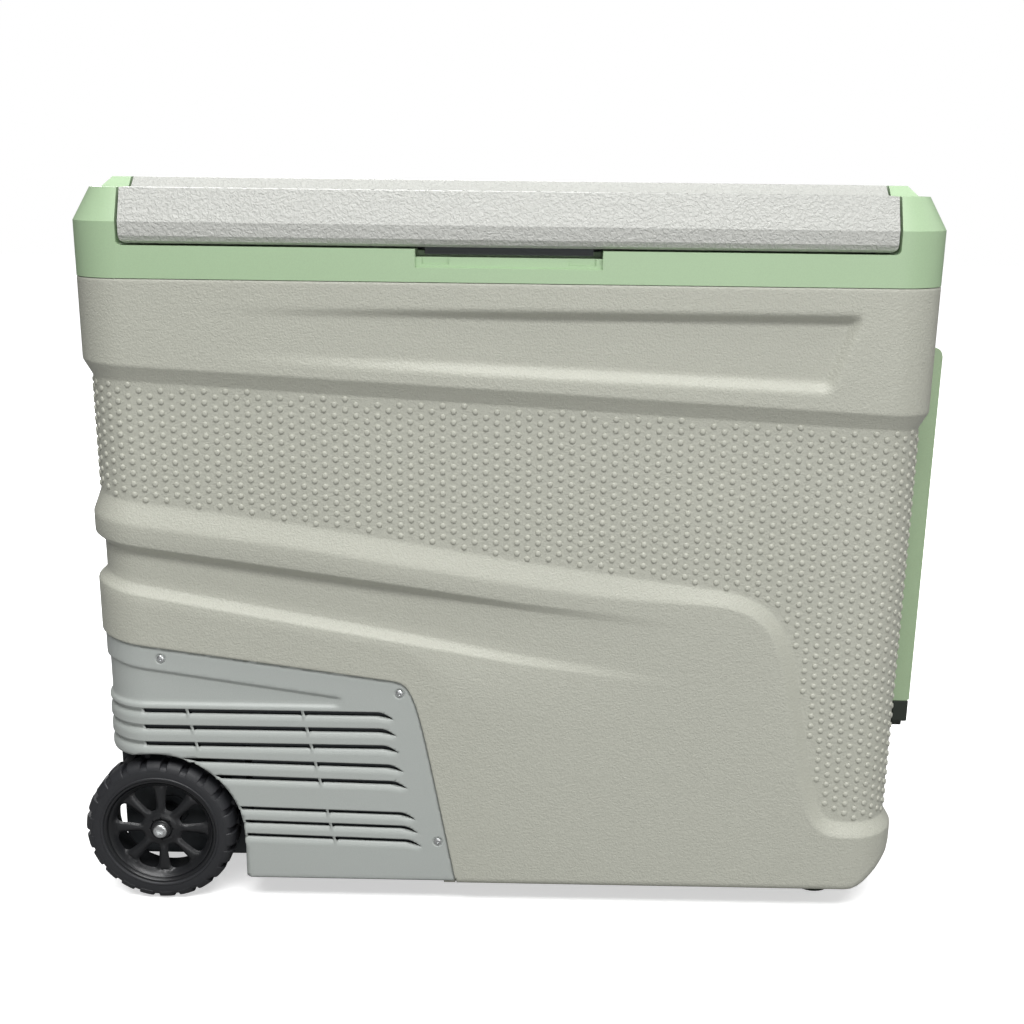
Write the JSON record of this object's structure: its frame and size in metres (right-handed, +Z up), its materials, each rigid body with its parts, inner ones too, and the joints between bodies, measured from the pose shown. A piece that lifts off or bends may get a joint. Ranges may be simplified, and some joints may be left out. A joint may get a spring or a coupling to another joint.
{
  "type": "compressor cooler fridge",
  "caption": "Wheeled portable compressor fridge: grained tub with a dimpled band, green collar, long hinged lid, vent covers, spoked wheels and a fold-down pull handle.",
  "frame": {"origin": "on the ground under the middle of the fridge, between the outermost points of wheels and handle", "axes": "+X towards the pull handle, +Z up, +Y the long side with the controls; the vented side seen first faces -Y"},
  "size_m": [0.73, 0.4032, 0.6215],
  "materials": {
    "body_plastic": "moulded PP with a fine leather grain",
    "green_plastic": "moulded sage-green ABS, satin",
    "lid_plastic": "moulded light-grey PP, grained",
    "vent_plastic": "moulded cool-grey ABS, fine matt",
    "chassis_plastic": "black-grey moulded PP",
    "white_plastic": "food-grade white, smooth",
    "foam": "polyurethane foam",
    "seal_rubber": "matt black rubber",
    "tyre_rubber": "moulded tread rubber",
    "wheel_plastic": "black moulded nylon",
    "grip_rubber": "dark green soft-touch rubber",
    "steel": "zinc-plated steel",
    "galvanised_sheet": "galvanised sheet",
    "compressor_enamel": "black enamel",
    "copper": "drawn copper tube",
    "aluminium_fin": "mill-finish fins",
    "circuit_board": "green solder mask",
    "display_glass": "smoked acrylic, gloss",
    "key_plastic": "dark grey keys",
    "brass_contact": "bare brass",
    "light_diffuser": "milky diffuser",
    "wire_coating": "white coated wire"
  },
  "bodies": {
    "root": {"body_shell": "body_plastic", "base_chassis": "chassis_plastic", "foam_insulation": "foam", "inner_liner": "white_plastic", "bay_bulkhead": "galvanised_sheet", "collar_frame": "green_plastic", "vent_cover_front": "vent_plastic", "vent_cover_rear": "vent_plastic", "cover_screws": "steel", "axle": "steel", "axle_screws": "steel", "rubber_feet": "seal_rubber", "handle_pins": "steel", "handle_brackets": "green_plastic", "compressor": "compressor_enamel", "compressor_grommets": "seal_rubber", "condenser_coil": "copper", "condenser_fins": "aluminium_fin", "fan_frame": "chassis_plastic", "fan_motor": "steel", "refrigerant_pipes": "copper", "filter_drier": "copper", "evaporator_tube": "copper", "control_board": "circuit_board", "control_bezel": "chassis_plastic", "display_window": "display_glass", "power_inlet": "chassis_plastic", "inlet_socket": "brass_contact", "basket_large": "wire_coating", "basket_small": "wire_coating", "drain_plug": "seal_rubber"},
    "lid": {"lid_outer": "lid_plastic", "lid_inner": "white_plastic", "lid_foam": "foam", "lid_gasket": "seal_rubber", "lid_hinge_pins": "steel", "interior_light": "light_diffuser"},
    "latch": {"lid_latch": "chassis_plastic"},
    "wheel_front": {"wheel_hub_front": "wheel_plastic", "tyre_front": "tyre_rubber"},
    "wheel_rear": {"wheel_hub_rear": "wheel_plastic", "tyre_rear": "tyre_rubber"},
    "handle": {"tow_handle": "green_plastic", "handle_grip": "grip_rubber"},
    "fan": {"fan_rotor": "wheel_plastic"},
    "power_key": {"power_button": "key_plastic"},
    "mode_key": {"mode_button": "key_plastic"},
    "up_key": {"up_button": "key_plastic"},
    "down_key": {"down_button": "key_plastic"}
  },
  "joints": [
    {"name": "lid_hinge", "type": "hinge", "parent": "root", "child": "lid", "pos_m": [0, 0.19, 0.5795], "axis": [-1, 0, 0], "range_deg": [0, 88]},
    {"name": "latch_pull", "type": "hinge", "parent": "lid", "child": "latch", "pos_m": [0.0015, -0.186, 0.5754], "axis": [-1, 0, 0], "range_deg": [0, 14], "stiffness_Nm_per_rad": 0.6},
    {"name": "handle_swing", "type": "hinge", "parent": "root", "child": "handle", "pos_m": [0.357, 0, 0.484], "axis": [0, -1, 0], "range_deg": [0, 110]},
    {"name": "wheel_front_spin", "type": "hinge", "parent": "root", "child": "wheel_front", "pos_m": [-0.299, -0.177, 0.066], "axis": [0, 1, 0], "continuous": true},
    {"name": "wheel_rear_spin", "type": "hinge", "parent": "root", "child": "wheel_rear", "pos_m": [-0.299, 0.177, 0.066], "axis": [0, 1, 0], "continuous": true},
    {"name": "fan_spin", "type": "hinge", "parent": "root", "child": "fan", "pos_m": [-0.214, 0.02, 0.166], "axis": [1, 0, 0], "continuous": true},
    {"name": "power_press", "type": "slide", "parent": "root", "child": "power_key", "axis": [0, -1, 0], "range_m": [0, 0.001], "stiffness_N_per_m": 300},
    {"name": "mode_press", "type": "slide", "parent": "root", "child": "mode_key", "axis": [0, -1, 0], "range_m": [0, 0.001], "stiffness_N_per_m": 300},
    {"name": "up_press", "type": "slide", "parent": "root", "child": "up_key", "axis": [0, -1, 0], "range_m": [0, 0.001], "stiffness_N_per_m": 300},
    {"name": "down_press", "type": "slide", "parent": "root", "child": "down_key", "axis": [0, -1, 0], "range_m": [0, 0.001], "stiffness_N_per_m": 300}
  ]
}
